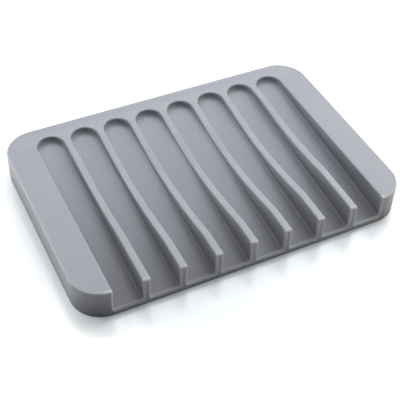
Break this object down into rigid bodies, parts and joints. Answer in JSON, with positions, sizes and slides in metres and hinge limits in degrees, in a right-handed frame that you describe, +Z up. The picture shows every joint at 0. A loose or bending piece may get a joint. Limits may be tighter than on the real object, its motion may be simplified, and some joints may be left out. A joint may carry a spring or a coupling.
{
  "type": "soap dish",
  "caption": "Self-draining silicone soap dish: a low tray with ribs between parallel channels that slope down to an open front lip, a shallow scoop for the bar, flat side rims.",
  "frame": {"origin": "centre of the flat underside", "axes": "+X along the long side, -Y out of the open front edge where the water runs off, +Z up"},
  "size_m": [0.115, 0.078, 0.0109],
  "materials": {
    "silicone": "matt moulded silicone, cool mid grey, fine even surface"
  },
  "bodies": {
    "root": {"drain_tray": "silicone"}
  },
  "joints": []
}
